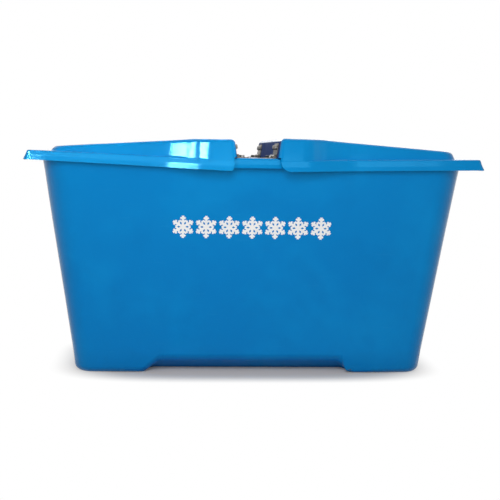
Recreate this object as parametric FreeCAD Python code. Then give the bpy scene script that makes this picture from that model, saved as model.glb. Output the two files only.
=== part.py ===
import FreeCAD, Part
import math
import os

# Grit bin: a tapered glass-fibre tub, a bridge across the middle of its mouth, and two lids hinged on
# the bridge. Millimetres. X runs to the right, Y to the back, Z up. The origin is on the floor under the
# middle of the tub.

V = FreeCAD.Vector

# Tub
base_half_width = 595.0
base_half_depth = 263.0
wall_draft = 0.145
base_corner_radius = 58.0
rim_corner_radius = 92.0
shell = 5.0
floor_thickness = 7.0
bottom_edge_radius = 22.0

# Rim: level under the bridge, then rising gently to both ends. It is trimmed by hand, so the two sides
# differ a little.
rim_top = 724.0
rim_level_half = 118.0
rim_tilt = {"left": 1.66, "right": 1.25}
rim_lip_width = 16.0
rim_lip_thickness = 6.0

# Undercut between the corner feet, on the front and the back
undercut_height = 50.0
undercut_depth = 105.0
undercut_half_top = 331.0
undercut_half_floor = 367.0
undercut_edge_radius = 10.0

# Bridge across the mouth
bridge_half_width = 116.0
bridge_half_length = 400.0
bridge_top = 735.0
bridge_lip_height = 31.5
bridge_lip_thickness = 8.0
bridge_corner_radius = 14.0
bridge_edge_radius = 4.0
rim_slot_inner = 351.0
rim_slot_outer = 389.0

# Lid flange with its turned-down skirt, which bulges out beside the bridge to clear the bridge's ends.
# The two lids are laid up and trimmed by hand as well, so their heights and lengths differ a little.
lid_gap = 1.0
skirt_height_inner = {"left": 36.5, "right": 36.5}
skirt_height_outer = {"left": 29.8, "right": 34.5}
skirt_draft = 3.0
skirt_end_draft = 13.0
flange_inner_end = 75.0
flange_open_end = 45.0
flange_outer_end = {"left": 752.0, "right": 757.0}
flange_block_half_depth = 425.0
flange_half_depth = 395.0
flange_bulge_start = 168.0
flange_bulge_end = 300.0
flange_bulge_radius = 250.0
flange_corner_radius = 30.0
flange_edge_radius = 4.0
skirt_corner_radius = {"left": 14.0, "right": 34.0}
skirt_spare = 5.0

# Lid crown: a block beside the bridge, ramps down to a lower front, and a top that falls to the outer end
crown_top = {"left": 794.0, "right": 800.0}
crown_flat_end = 205.0
crown_fall = 4.1
block_half_depth = 416.0
block_end = 185.0
ramp_end = 258.5
crown_half_depth = 373.0
crown_outer_end = {"left": 666.0, "right": 669.0}
crown_wall_draft = 5.0
crown_end_draft = 20.0
block_corner_radius = 16.0
ramp_outer_radius = 120.0
ramp_inner_radius = 185.0
crown_corner_radius = 48.0
crown_edge_radius = 12.0
crown_inner_edge_radius = 7.0
crown_foot_radius = 5.0
end_wall_foot = 66.0
end_wall_foot_height = 737.0
end_wall_head = 77.0
end_wall_head_height = 798.0

# Hinges
hinge_length = 120.0
hinge_middle = 300.0
knuckle_radius = 6.0
knuckle_count = 5
knuckle_gap = 0.4
pin_radius = 3.0
pin_clearance = 0.06
pin_overhang = 2.0
pin_chamfer = 0.8
leaf_thickness = 2.5
bridge_leaf_width = 35.0
lid_leaf_width = 45.0
leaf_corner_radius = 4.0
leaf_relief = 0.5

# Fasteners, M8
bolt_radius = 4.0
bolt_hole_radius = 4.3
head_across_flats = 13.0
head_height = 5.3
head_cone_foot_radius = 10.5
head_cone_top_radius = 6.1
washer_radius = 8.0
washer_thickness = 1.6
nut_height = 8.0
thread_past_nut = 2.0
hinge_bolt_pitch = 42.0
bridge_bolt_from_pin = 15.0
lid_bolt_from_pin = 31.0
rim_bolt_x = 92.0
rim_bolt_y = 377.0

# Working allowances, cut away again: spare height above a part, and how far a tool passes what it cuts
spare = 60.0
overcut = 20.0
far = 1000.0
nearly = 0.01

# Derived sizes
rim_slope = {side: math.tan(math.radians(tilt)) for side, tilt in rim_tilt.items()}
bridge_thickness = bridge_top - rim_top
end_wall_lean = math.atan((end_wall_head - end_wall_foot) / (end_wall_head_height - end_wall_foot_height))
pin_z = bridge_top + knuckle_radius
pin_x = (end_wall_foot
         - knuckle_radius / math.cos(end_wall_lean)
         - (end_wall_foot_height - pin_z) * math.tan(end_wall_lean))
flange_underside = {side: rim_top + lid_gap - (rim_level_half - pin_x) * slope
                    for side, slope in rim_slope.items()}
flange_top = {side: underside + shell for side, underside in flange_underside.items()}
below_skirt = min(flange_top.values()) - max(skirt_height_inner.values()) - skirt_spare
above_crown = max(crown_top.values()) + overcut


# General helpers

def rounded_outline(corners, z):
    # A closed wire through the corners (x, y, radius), each rounded by its radius or sharp where that is 0
    points = [V(x, y, z) for x, y, radius in corners]
    arcs = []
    for index, corner in enumerate(points):
        radius = corners[index][2]
        if radius == 0:
            arcs.append((corner, None, corner))
            continue
        back = (points[index - 1] - corner).normalize()
        ahead = (points[(index + 1) % len(points)] - corner).normalize()
        half_angle = back.getAngle(ahead) / 2
        reach = radius / math.tan(half_angle)
        inward = (back + ahead).normalize()
        middle = corner + inward * (radius / math.sin(half_angle) - radius)
        arcs.append((corner + back * reach, middle, corner + ahead * reach))
    edges = []
    for index, (start, middle, end) in enumerate(arcs):
        if middle:
            edges.append(Part.Arc(start, middle, end).toShape())
        following = arcs[(index + 1) % len(arcs)][0]
        edges.append(Part.LineSegment(end, following).toShape())
    return Part.Wire(edges)


def loft_between(lower, upper):
    return Part.makeLoft([lower, upper], True, True)


def profile_along_y(points):
    # A solid with the outline (x, z) and a length that passes the whole object front to back
    wire = Part.makePolygon([V(x, -far, z) for x, z in points + points[:1]])
    return Part.Face(wire).extrude(V(0, 2 * far, 0))


def profile_along_x(points, half_length):
    wire = Part.makePolygon([V(-half_length, y, z) for y, z in points + points[:1]])
    return Part.Face(wire).extrude(V(2 * half_length, 0, 0))


def box_between(low, high):
    size = V(*high) - V(*low)
    return Part.makeBox(size.x, size.y, size.z, V(*low))


def fillet_where(shape, radius, wanted):
    edges = [edge for edge in shape.Edges if wanted(edge)]
    return shape.makeFillet(radius, edges)


def at_height(edge, z):
    return all(abs(vertex.Z - z) < nearly for vertex in edge.Vertexes)


def bolt_hole(place):
    return Part.makeCylinder(bolt_hole_radius, 2 * overcut, place - V(0, 0, overcut))


def mirrored(shape):
    return shape.mirror(V(0, 0, 0), V(1, 0, 0))


def front_and_back(shape):
    return [shape, shape.mirror(V(0, 0, 0), V(0, 1, 0))]


def write(node, shape):
    shape.exportStep(os.path.join("parts", node + ".step"))


# Tub

def rectangle_corners(half_width, half_depth, radius):
    return [
        (half_width, -half_depth, radius),
        (half_width, half_depth, radius),
        (-half_width, half_depth, radius),
        (-half_width, -half_depth, radius),
    ]


def tub_section(z, inset):
    half_width = base_half_width + wall_draft * z - inset
    half_depth = base_half_depth + wall_draft * z - inset
    radius = base_corner_radius + (rim_corner_radius - base_corner_radius) * z / rim_top - inset
    return rounded_outline(rectangle_corners(half_width, half_depth, radius), z)


def tub_block(bottom, inset):
    # The tapered body, taller than the rim, with its bottom edge rounded
    block = loft_between(tub_section(bottom, inset), tub_section(rim_top + spare, inset))
    return fillet_where(block, bottom_edge_radius - inset, lambda edge: at_height(edge, bottom))


def undercut_tool(grow):
    # Everything under the sloping undercut of the front edge, between the two feet
    slope = math.atan(undercut_height / undercut_depth)
    lift = grow / math.cos(slope)
    front = -(base_half_depth + wall_draft * undercut_height)
    rise = undercut_height + lift
    beyond = -far
    beyond_rise = rise + (front - beyond) * math.tan(slope)
    back = front + rise / math.tan(slope)
    under = profile_along_x(
        [(beyond, -overcut), (beyond, beyond_rise), (back, 0.0), (back, -overcut)], far)
    side = profile_along_y([
        (-undercut_half_floor - grow, -overcut),
        (-undercut_half_floor - grow, 0.0),
        (-undercut_half_top - grow, undercut_height),
        (-undercut_half_top - grow, 2 * undercut_height),
        (undercut_half_top + grow, 2 * undercut_height),
        (undercut_half_top + grow, undercut_height),
        (undercut_half_floor + grow, 0.0),
        (undercut_half_floor + grow, -overcut),
    ])
    level = box_between((-far, -far, -overcut), (far, 0.0, rise))
    return under.common(side).common(level)


def rim_line(x):
    side = "left" if x < 0 else "right"
    return rim_top + max(0.0, abs(x) - rim_level_half) * rim_slope[side]


def under_rim(drop, bottom):
    # The space under the bent line of the rim, lowered by drop
    stations = [-far, -rim_level_half, rim_level_half, far]
    upper = [(x, rim_line(x) - drop) for x in stations]
    return profile_along_y(upper + [(far, bottom), (-far, bottom)])


def undercut(block, grow):
    for tool in front_and_back(undercut_tool(grow)):
        block = block.cut(tool)
    return block


def borders_undercut(edge):
    # Any edge of an undercut, apart from those on the floor
    box = edge.BoundBox
    inside = max(abs(box.XMin), abs(box.XMax)) < undercut_half_floor + 1.0
    return inside and nearly < box.ZMax < undercut_height + 1.0


def make_tub():
    outer = undercut(tub_block(0.0, 0.0), 0.0)
    outer = fillet_where(outer, undercut_edge_radius, borders_undercut)
    inner = undercut(tub_block(floor_thickness, shell), shell)
    lip_corners = rectangle_corners(
        base_half_width + wall_draft * rim_top + rim_lip_width,
        base_half_depth + wall_draft * rim_top + rim_lip_width,
        rim_corner_radius + rim_lip_width)
    lip = Part.Face(rounded_outline(lip_corners, rim_top - spare)).extrude(V(0, 0, 2 * spare))
    lip = lip.common(under_rim(0.0, 0.0)).cut(under_rim(rim_lip_thickness, -far))
    body = outer.common(under_rim(0.0, -spare)).fuse(lip)
    tub = body.cut(inner)
    for x, y in rim_bolt_places():
        tub = tub.cut(bolt_hole(V(x, y, rim_top)))
    return tub.removeSplitter()


# Bridge

def bridge_block(inset, bottom, top):
    corners = rectangle_corners(
        bridge_half_width - inset, bridge_half_length - inset, bridge_corner_radius - inset)
    return Part.Face(rounded_outline(corners, bottom)).extrude(V(0, 0, top - bottom))


def make_bridge():
    lip_foot = bridge_top - bridge_lip_height
    block = bridge_block(0.0, lip_foot, bridge_top)
    block = fillet_where(block, bridge_edge_radius, lambda edge: at_height(edge, bridge_top))
    bridge = block.cut(bridge_block(bridge_lip_thickness, lip_foot - overcut, rim_top))
    slot = box_between((-far, rim_slot_inner, lip_foot - overcut), (far, rim_slot_outer, rim_top))
    for part in front_and_back(slot):
        bridge = bridge.cut(part)
    for x, y in bridge_bolt_places() + rim_bolt_places():
        bridge = bridge.cut(bolt_hole(V(x, y, bridge_top)))
    return bridge.removeSplitter()


# Lids, built level and then raised by the rim's tilt about the hinge pin

def flange_corners(side, inset, inner_end, drawn_in):
    # drawn_in is 0 at the skirt's foot and 1 at the flange's top edge
    block = flange_block_half_depth - drawn_in * skirt_draft - inset
    main = flange_half_depth - drawn_in * skirt_draft - inset
    end = flange_outer_end[side] - drawn_in * skirt_end_draft - inset
    half = [
        (flange_bulge_start, block, flange_bulge_radius - inset),
        (flange_bulge_end, main, flange_bulge_radius + inset),
        (end, main, flange_corner_radius - inset),
    ]
    front = [(inner_end, -block, 0)] + [(x, -y, radius) for x, y, radius in half]
    back = [(x, y, radius) for x, y, radius in reversed(half)] + [(inner_end, block, 0)]
    return front + back


def flange_block(side, inset, inner_end, top):
    lower = rounded_outline(flange_corners(side, inset, inner_end, 0.0), below_skirt)
    upper = rounded_outline(flange_corners(side, inset, inner_end, 1.0), top)
    return loft_between(lower, upper)


def crown_section(side, z, inset):
    rise = z - flange_top[side]
    in_y = rise * math.tan(math.radians(crown_wall_draft)) + inset
    in_x = rise * math.tan(math.radians(crown_end_draft)) + inset
    inner_end = end_wall_foot + (z - end_wall_foot_height) * math.tan(end_wall_lean) + inset
    half = [
        (block_end, block_half_depth - in_y, ramp_outer_radius - inset),
        (ramp_end, crown_half_depth - in_y, ramp_inner_radius + inset),
        (crown_outer_end[side] - in_x, crown_half_depth - in_y, crown_corner_radius - inset),
    ]
    block = block_half_depth - in_y
    corner = block_corner_radius - inset
    front = [(inner_end, -block, corner)] + [(x, -y, radius) for x, y, radius in half]
    back = [(x, y, radius) for x, y, radius in reversed(half)] + [(inner_end, block, corner)]
    return rounded_outline(front + back, z)


def crown_line(side, x):
    # Height of the crown's top in the lid's own level frame
    flat = crown_top[side] - (min(x, crown_flat_end) - end_wall_head) * rim_slope[side]
    fall = math.tan(math.radians(crown_fall + rim_tilt[side]))
    return flat - max(0.0, x - crown_flat_end) * fall


def crown_block(side, inset, bottom):
    tall = loft_between(crown_section(side, bottom, inset), crown_section(side, above_crown, inset))
    stations = [0.0, crown_flat_end, far]
    top = [(x, crown_line(side, x) - inset) for x in stations]
    under = profile_along_y(top + [(far, 0.0), (0.0, 0.0)])
    block = tall.common(under)
    radius = crown_inner_edge_radius if inset else crown_edge_radius

    def on_top_edge(edge):
        if any(abs(vertex.Z - crown_line(side, vertex.X) + inset) > nearly for vertex in edge.Vertexes):
            return False
        return not all(abs(vertex.X - crown_flat_end) < nearly for vertex in edge.Vertexes)

    return fillet_where(block, radius, on_top_edge)


def skirt_line(side, x):
    # Height of the skirt's foot: the skirt is a little deeper beside the bridge than at the outer end
    length = flange_outer_end[side] - flange_inner_end
    taper = (skirt_height_inner[side] - skirt_height_outer[side]) / length
    return flange_top[side] - skirt_height_inner[side] + (x - flange_inner_end) * taper


def trim_skirt(side, lid):
    # Cuts the skirt's foot to its line and rounds up its corner beside the bridge
    stations = [0.0, far]
    lid = lid.cut(profile_along_y([(x, skirt_line(side, x)) for x in stations] + [(far, 0.0), (0.0, 0.0)]))
    radius = skirt_corner_radius[side]
    centre_x = flange_inner_end + radius
    centre_z = skirt_line(side, centre_x) + radius
    corner = box_between((flange_inner_end - overcut, -far, below_skirt), (centre_x, far, centre_z))
    keep = Part.makeCylinder(radius, 2 * far, V(centre_x, -far, centre_z), V(0, 1, 0))
    return lid.cut(corner.cut(keep))


def make_lid(side):
    # Either lid is modelled as a right one
    flange = flange_block(side, 0.0, flange_open_end, flange_top[side])
    flange = fillet_where(flange, flange_edge_radius,
                          lambda edge: at_height(edge, flange_top[side])
                          and edge.CenterOfMass.x > flange_open_end + nearly)
    lid = flange.fuse(crown_block(side, 0.0, flange_underside[side])).removeSplitter()
    crown_foot = Part.Face(crown_section(side, flange_top[side], -1.0))
    lid = fillet_where(lid, crown_foot_radius,
                       lambda edge: at_height(edge, flange_top[side])
                       and crown_foot.isInside(edge.CenterOfMass, nearly, True))
    lid = lid.cut(crown_block(side, shell, below_skirt))
    lid = lid.cut(flange_block(side, shell, flange_open_end - overcut, flange_underside[side]))
    lid = lid.cut(box_between((0.0, -far, below_skirt - overcut),
                              (flange_inner_end, far, end_wall_foot_height)))
    lid = trim_skirt(side, lid)
    for y in hinge_bolt_rows():
        lid = lid.cut(on_end_wall(bolt_hole(V(0, 0, 0)), lid_bolt_from_pin, y))
    return on_side(side, lid.removeSplitter())


def on_side(side, shape):
    # Raises a lid, or what is fixed to it, to the rim's tilt and mirrors it where it belongs to the left
    turned = shape.copy()
    turned.rotate(V(pin_x, 0, pin_z), V(0, 1, 0), -rim_tilt[side])
    return mirrored(turned) if side == "left" else turned


# Places of the fasteners

def hinge_bolt_rows():
    rows = []
    for middle in (-hinge_middle, hinge_middle):
        rows += [middle - hinge_bolt_pitch, middle, middle + hinge_bolt_pitch]
    return rows


def bridge_bolt_places():
    reach = pin_x - bridge_bolt_from_pin
    return [(x, y) for x in (-reach, reach) for y in hinge_bolt_rows()]


def rim_bolt_places():
    return [(x, y) for x in (-rim_bolt_x, rim_bolt_x) for y in (-rim_bolt_y, rim_bolt_y)]


def on_end_wall(shape, from_pin, y):
    # Moves a shape from the origin onto the right lid's end wall, with its +Z pointing out of the wall
    placed = shape.copy()
    placed.rotate(V(0, 0, 0), V(0, 1, 0), -90.0 + math.degrees(end_wall_lean))
    along = V(math.sin(end_wall_lean), 0, math.cos(end_wall_lean))
    into_wall = V(math.cos(end_wall_lean), 0, -math.sin(end_wall_lean))
    foot = V(pin_x, y, pin_z) + into_wall * knuckle_radius + along * from_pin
    placed.translate(foot)
    return placed


# Fasteners, modelled standing on the clamped surface with +Z towards the head

def hexagon(height, z):
    reach = head_across_flats / 2 / math.cos(math.pi / 6)
    points = [V(reach * math.cos(k * math.pi / 3), reach * math.sin(k * math.pi / 3), z) for k in range(7)]
    prism = Part.Face(Part.makePolygon(points)).extrude(V(0, 0, height))
    cone = Part.makeCone(head_cone_foot_radius, head_cone_top_radius, height, V(0, 0, z))
    return prism.common(cone)


def bolt(top_stack, grip):
    # top_stack is what lies under the head above the clamped surface, grip what lies below that surface
    length = grip + washer_thickness + nut_height + thread_past_nut
    shank = Part.makeCylinder(bolt_radius, length + top_stack, V(0, 0, -length))
    return shank.fuse(hexagon(head_height, top_stack)).removeSplitter()


def washer(z):
    disc = Part.makeCylinder(washer_radius, washer_thickness, V(0, 0, z))
    return disc.cut(Part.makeCylinder(bolt_radius, 3 * washer_thickness, V(0, 0, z - washer_thickness)))


def nut(grip):
    foot = -grip - washer_thickness - nut_height
    body = hexagon(nut_height, 0.0)
    body.rotate(V(0, 0, 0), V(1, 0, 0), 180.0)
    body.translate(V(0, 0, foot + nut_height))
    return body.cut(Part.makeCylinder(bolt_radius, 3 * nut_height, V(0, 0, foot - nut_height)))


def fastener_set(top_stack, grip):
    return {
        "bolts": [bolt(top_stack, grip)],
        "washers": [washer(top_stack - washer_thickness), washer(-grip - washer_thickness)],
        "nuts": [nut(grip)],
    }


def moved(shape, place):
    copy = shape.copy()
    copy.translate(place)
    return copy


def on_bridge_top(items, places):
    return Part.makeCompound([moved(item, V(x, y, bridge_top)) for item in items for x, y in places])


def write_fasteners():
    hinge_stack = leaf_thickness + washer_thickness
    on_bridge = fastener_set(hinge_stack, bridge_thickness)
    on_lid = fastener_set(hinge_stack, shell)
    on_rim = fastener_set(washer_thickness, bridge_thickness + rim_lip_thickness)
    for kind in ("bolts", "washers", "nuts"):
        write("bridge_hinge_" + kind, on_bridge_top(on_bridge[kind], bridge_bolt_places()))
        write("rim_" + kind, on_bridge_top(on_rim[kind], rim_bolt_places()))
        for side in rim_tilt:
            group = [on_side(side, on_end_wall(item, lid_bolt_from_pin, y))
                     for item in on_lid[kind] for y in hinge_bolt_rows()]
            write(side + "_lid_hinge_" + kind, Part.makeCompound(group))


# Hinges, modelled for the right lid with the pin along Y and mirrored for the left

def knuckle_spans(owner):
    # Y spans of the knuckles: the bridge leaf has the first, third and fifth, the lid leaf the others
    pitch = hinge_length / knuckle_count
    spans = []
    for index in range(knuckle_count):
        if index % 2 == owner:
            start = -hinge_length / 2 + index * pitch
            spans.append((start, start + pitch))
    return spans


def barrel(radius, span, gap):
    start = span[0] - gap
    length = span[1] - span[0] + 2 * gap
    return Part.makeCylinder(radius, length, V(0, start, 0), V(0, 1, 0))


def leaf_plate(width):
    # A plate under the pin's axis, reaching from the pin towards -X
    low = V(-width, -hinge_length / 2, -knuckle_radius)
    plate = Part.makeBox(width, hinge_length, leaf_thickness, low)
    corners = [edge for edge in plate.Edges
               if all(abs(vertex.X + width) < nearly for vertex in edge.Vertexes)
               and abs(edge.Vertexes[0].Y - edge.Vertexes[1].Y) < nearly]
    return plate.makeFillet(leaf_corner_radius, corners)


def hinge_leaf(width, owner, bore, bolt_from_pin):
    leaf = leaf_plate(width)
    for span in knuckle_spans(owner):
        leaf = leaf.fuse(barrel(knuckle_radius, span, -knuckle_gap / 2))
    for span in knuckle_spans(1 - owner):
        leaf = leaf.cut(barrel(knuckle_radius + leaf_relief, span, knuckle_gap / 2))
    leaf = leaf.cut(barrel(bore, (-hinge_length, hinge_length), 0.0))
    for y in (-hinge_bolt_pitch, 0.0, hinge_bolt_pitch):
        leaf = leaf.cut(bolt_hole(V(-bolt_from_pin, y, 0)))
    return leaf.removeSplitter()


def make_pin():
    half = hinge_length / 2 + pin_overhang
    pin = Part.makeCylinder(pin_radius, 2 * half, V(0, -half, 0), V(0, 1, 0))
    return pin.makeChamfer(pin_chamfer, [edge for edge in pin.Edges if len(edge.Vertexes) == 1])


def write_hinges():
    bridge_leaf = hinge_leaf(bridge_leaf_width, 0, pin_radius, bridge_bolt_from_pin)
    lid_leaf = hinge_leaf(lid_leaf_width, 1, pin_radius + pin_clearance, lid_bolt_from_pin)
    # The lid leaf points the other way and is swung up to lie against the lid's leaning end wall
    lid_leaf = mirrored(lid_leaf)
    lid_leaf.rotate(V(0, 0, 0), V(0, 1, 0), -90.0 + math.degrees(end_wall_lean))
    pin = make_pin()
    for end, y in (("front", -hinge_middle), ("rear", hinge_middle)):
        place = V(pin_x, y, pin_z)
        for name, shape in (("bridge_leaf", bridge_leaf), ("pin", pin)):
            write(end + "_right_hinge_" + name, moved(shape, place))
            write(end + "_left_hinge_" + name, mirrored(moved(shape, place)))
        for side in rim_tilt:
            write(end + "_" + side + "_hinge_lid_leaf", on_side(side, moved(lid_leaf, place)))


def main():
    os.makedirs("parts", exist_ok=True)
    write("tub", make_tub())
    write("centre_bridge", make_bridge())
    for side in rim_tilt:
        write(side + "_lid", make_lid(side))
    write_hinges()
    write_fasteners()


main()
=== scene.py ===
import bpy
import math
from mathutils import Matrix, Vector


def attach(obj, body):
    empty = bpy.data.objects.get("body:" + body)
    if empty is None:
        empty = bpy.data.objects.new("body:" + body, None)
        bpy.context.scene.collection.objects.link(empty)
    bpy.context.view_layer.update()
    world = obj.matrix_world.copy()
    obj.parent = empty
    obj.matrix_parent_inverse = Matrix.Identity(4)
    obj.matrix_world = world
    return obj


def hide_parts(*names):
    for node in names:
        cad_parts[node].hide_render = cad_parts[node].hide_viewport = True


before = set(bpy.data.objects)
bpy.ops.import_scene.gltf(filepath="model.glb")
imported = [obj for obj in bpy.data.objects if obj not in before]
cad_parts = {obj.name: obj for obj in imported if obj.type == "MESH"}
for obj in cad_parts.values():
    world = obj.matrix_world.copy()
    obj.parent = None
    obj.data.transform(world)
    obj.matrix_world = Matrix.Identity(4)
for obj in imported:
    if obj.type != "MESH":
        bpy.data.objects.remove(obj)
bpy.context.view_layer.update()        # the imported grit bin: bodies, nodes, joints and record

# Metres, +X to the right, +Y to the back, +Z up. The bin stands on z = 0.

origin = (0.0, 0.0, 0.0)
alongX = (1.0, 0.0, 0.0)
alongY = (0.0, 1.0, 0.0)
alongZ = (0.0, 0.0, 1.0)
white = (1.0, 1.0, 1.0, 1.0)

# how near a point has to be to count as the one that is meant
slack = {
    "point": 0.000001,
    "merge": 0.00002,      # points doubled by a cut or a union
    "level": 0.0001,
    "top": 0.0002,
    "crease": 0.0003,
    "sliver": 0.0004,
    "edge": 0.0005,
    "clear": 0.001,
    "corner": 0.0015,
    "band": 0.002,
    "end": 0.003,
    "brow": 0.01,
}

seedHalf = 0.01          # half size of what a piece or an outline starts from
flat = 0.9               # a normal's z beyond this, up or down, belongs to a level face
smoothAngle = 32.0       # degrees, sharper edges stay sharp


# Selecting, cutting and finishing, used on every moulding

def enterEdit():
    bpy.ops.object.mode_set(mode="EDIT")


def leaveEdit():
    bpy.ops.object.mode_set(mode="OBJECT")


def deselectAll():
    if bpy.context.object and bpy.context.object.mode != "OBJECT":
        leaveEdit()
    bpy.ops.object.select_all(action="DESELECT")


def activate(piece):
    deselectAll()
    piece.select_set(True)
    bpy.context.view_layer.objects.active = piece


def applyPlace(piece):
    activate(piece)
    bpy.ops.object.transform_apply()


def editAll(piece, action="SELECT"):
    # leaves the piece in edit mode with everything selected, or with nothing
    activate(piece)
    enterEdit()
    bpy.ops.mesh.select_all(action=action)


def clearSelection(piece, kind):
    activate(piece)
    enterEdit()
    bpy.ops.mesh.select_mode(type=kind)
    bpy.ops.mesh.select_all(action="DESELECT")
    leaveEdit()


def pickPoints(piece, wanted):
    # leaves the piece in edit mode with the wanted points selected
    clearSelection(piece, "VERT")
    for vertex in piece.data.vertices:
        vertex.select = wanted(vertex.co)
    enterEdit()


def pickEdges(piece, wanted):
    clearSelection(piece, "EDGE")
    points = piece.data.vertices
    for edge in piece.data.edges:
        first, second = edge.vertices
        edge.select = wanted(points[first].co, points[second].co)
    enterEdit()


def pickOpenEdges(piece):
    # edges with a face on one side only
    uses = {}
    for face in piece.data.polygons:
        for key in face.edge_keys:
            uses[key] = uses.get(key, 0) + 1
    clearSelection(piece, "EDGE")
    for edge in piece.data.edges:
        edge.select = uses.get(edge.key, 0) == 1
    enterEdit()


def pickFaces(piece, wanted):
    clearSelection(piece, "FACE")
    for face in piece.data.polygons:
        face.select = wanted(face.center, face.normal)
    enterEdit()


def stretch(factors, centre=origin):
    bpy.ops.transform.resize(value=factors, center_override=centre, orient_type="GLOBAL")


def widen(distance, halfX, halfY, centre=origin):
    # moves the selected outline out by a distance, given its half sizes
    stretch((1.0 + distance / halfX, 1.0 + distance / halfY, 1.0), centre)


def shift(distance):
    bpy.ops.transform.translate(value=distance, orient_type="GLOBAL")


def roundEdges(offset, segments, points=False):
    bpy.ops.mesh.bevel(offset=offset, segments=segments, profile=0.5, clamp_overlap=False,
                       affect="VERTICES" if points else "EDGES")
    leaveEdit()


def cutAlong(place, normal, clear=False, fill=False):
    # cuts what is selected along a plane, and can clear what lies on the side of its normal
    bpy.ops.mesh.bisect(plane_co=place, plane_no=normal, clear_outer=clear, use_fill=fill)
    leaveEdit()


def cutThrough(piece, place, normal, clear=False, fill=False):
    pickFaces(piece, lambda centre, faceNormal: True)
    cutAlong(place, normal, clear, fill)


def cutAcross(piece, axis, places):
    # cuts square to an axis, at several places along it
    for place in places:
        cutThrough(piece, place * Vector(axis), axis)


def applyModifier(piece, kind, **settings):
    activate(piece)
    modifier = piece.modifiers.new(kind.lower(), kind)
    for key, value in settings.items():
        setattr(modifier, key, value)
    bpy.ops.object.modifier_apply(modifier=modifier.name)


def combine(piece, other, operation):
    applyModifier(piece, "BOOLEAN", object=other, operation=operation, solver="EXACT")
    bpy.data.objects.remove(other, do_unlink=True)
    editAll(piece)
    bpy.ops.mesh.remove_doubles(threshold=slack["merge"])
    bpy.ops.mesh.delete_loose()
    leaveEdit()


def mergePoints(piece, within=slack["merge"]):
    editAll(piece)
    bpy.ops.mesh.remove_doubles(threshold=within)
    bpy.ops.mesh.normals_make_consistent(inside=False)
    leaveEdit()


def flipFaces(piece):
    editAll(piece)
    bpy.ops.mesh.flip_normals()
    leaveEdit()


def dropFaces(piece, wanted):
    pickFaces(piece, wanted)
    bpy.ops.mesh.delete(type="FACE")
    leaveEdit()
    editAll(piece)
    bpy.ops.mesh.delete_loose()
    leaveEdit()


def smoothFaces(piece):
    activate(piece)
    bpy.ops.object.shade_smooth_by_angle(angle=math.radians(smoothAngle))
    applyModifier(piece, "WEIGHTED_NORMAL", mode="FACE_AREA", keep_sharp=True, weight=100)


def block(name, low, high):
    # a box between two corners, named, with its place in its mesh
    deselectAll()
    middle = [(a + b) / 2 for a, b in zip(low, high)]
    bpy.ops.mesh.primitive_cube_add(size=1.0, location=middle)
    piece = bpy.context.object
    piece.name = name
    piece.scale = [b - a for a, b in zip(low, high)]
    applyPlace(piece)
    return piece


def emptyPiece(name):
    piece = block(name, 3 * (-seedHalf,), 3 * (seedHalf,))
    editAll(piece)
    bpy.ops.mesh.delete(type="VERT")
    leaveEdit()
    return piece


def rectangle(halfX, halfY, radius):
    return [(x * halfX, y * halfY, radius) for x, y in ((-1, -1), (1, -1), (1, 1), (-1, 1))]


def addOutline(piece, corners, z, steps):
    # a closed level outline: one point at each corner (x, y, radius), then the corners rounded
    editAll(piece, "DESELECT")
    bpy.ops.mesh.primitive_circle_add(vertices=len(corners), radius=seedHalf, fill_type="NGON",
                                      location=(0.0, 0.0, z))
    leaveEdit()
    first = len(piece.data.vertices) - len(corners)
    places = [Vector((x, y, z)) for x, y, radius in corners]
    for index, place in enumerate(places):
        start = piece.data.vertices[first + index].co.copy()
        pickPoints(piece, lambda co: (co - start).length < slack["point"])
        shift(place - start)
        leaveEdit()
    for index, place in enumerate(places):
        radius = corners[index][2]
        if radius == 0.0:
            continue
        before = places[index - 1] - place
        after = places[(index + 1) % len(places)] - place
        turn = math.pi - before.angle(after)
        segments = max(2, round(steps * turn / (math.pi / 2)))
        pickPoints(piece, lambda co: (co - place).length < slack["point"])
        roundEdges(radius * math.tan(turn / 2), segments, points=True)


def joinOutlines(piece):
    # walls between a lower and an upper outline
    pickEdges(piece, lambda a, b: abs(a.z - b.z) < slack["level"])
    bpy.ops.mesh.bridge_edge_loops()
    leaveEdit()
    mergePoints(piece)


def turnOutwards(piece, up):
    # up is 1 where the moulding is closed on top, as a lid is, and -1 where it has a bottom
    mergePoints(piece, slack["sliver"])
    if up * sum(face.normal.z * face.area for face in piece.data.polygons) < 0.0:
        flipFaces(piece)


def waveWalls(piece, up, depth, size, stays):
    # hand-laid panels are never quite flat: sinks the skin by up to depth, apart from where it stays
    turnOutwards(piece, up)
    movable = piece.vertex_groups.new(name="handLaid")
    for vertex in piece.data.vertices:
        movable.add([vertex.index], 0.0 if stays(vertex.co) else 1.0, "REPLACE")
    texture = bpy.data.textures.new(piece.name + "Wave", "CLOUDS")
    texture.noise_scale = size
    texture.noise_depth = 0
    applyModifier(piece, "DISPLACE", texture=texture, texture_coords="LOCAL", direction="NORMAL",
                  strength=depth, mid_level=1.0, vertex_group="handLaid")


def finishMoulding(piece, thickness, up, coat):
    # gel coat outside, bare strand laminate inside
    piece.data.materials.append(coat)
    piece.data.materials.append(strandLaminate)
    turnOutwards(piece, up)
    applyModifier(piece, "SOLIDIFY", thickness=thickness, offset=-1.0, use_quality_normals=True,
                  material_offset=1, material_offset_rim=0)
    smoothFaces(piece)


# Shader nodes, used by the studio and the finishes

def addNode(tree, kind, inputs, **settings):
    # outputs of other nodes are linked to its inputs, and all else is set as their value
    node = tree.nodes.new("ShaderNode" + kind)
    for key, value in settings.items():
        setattr(node, key, value)
    for key, value in inputs.items():
        if isinstance(value, bpy.types.NodeSocket):
            tree.links.new(value, node.inputs[key])
        else:
            node.inputs[key].default_value = value
    return node


def newMaterial(name):
    material = bpy.data.materials.new(name)
    material.use_nodes = True
    material.node_tree.nodes.clear()
    return material, material.node_tree


def objectPlace(tree):
    return addNode(tree, "TexCoord", {}).outputs["Object"]


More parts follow.
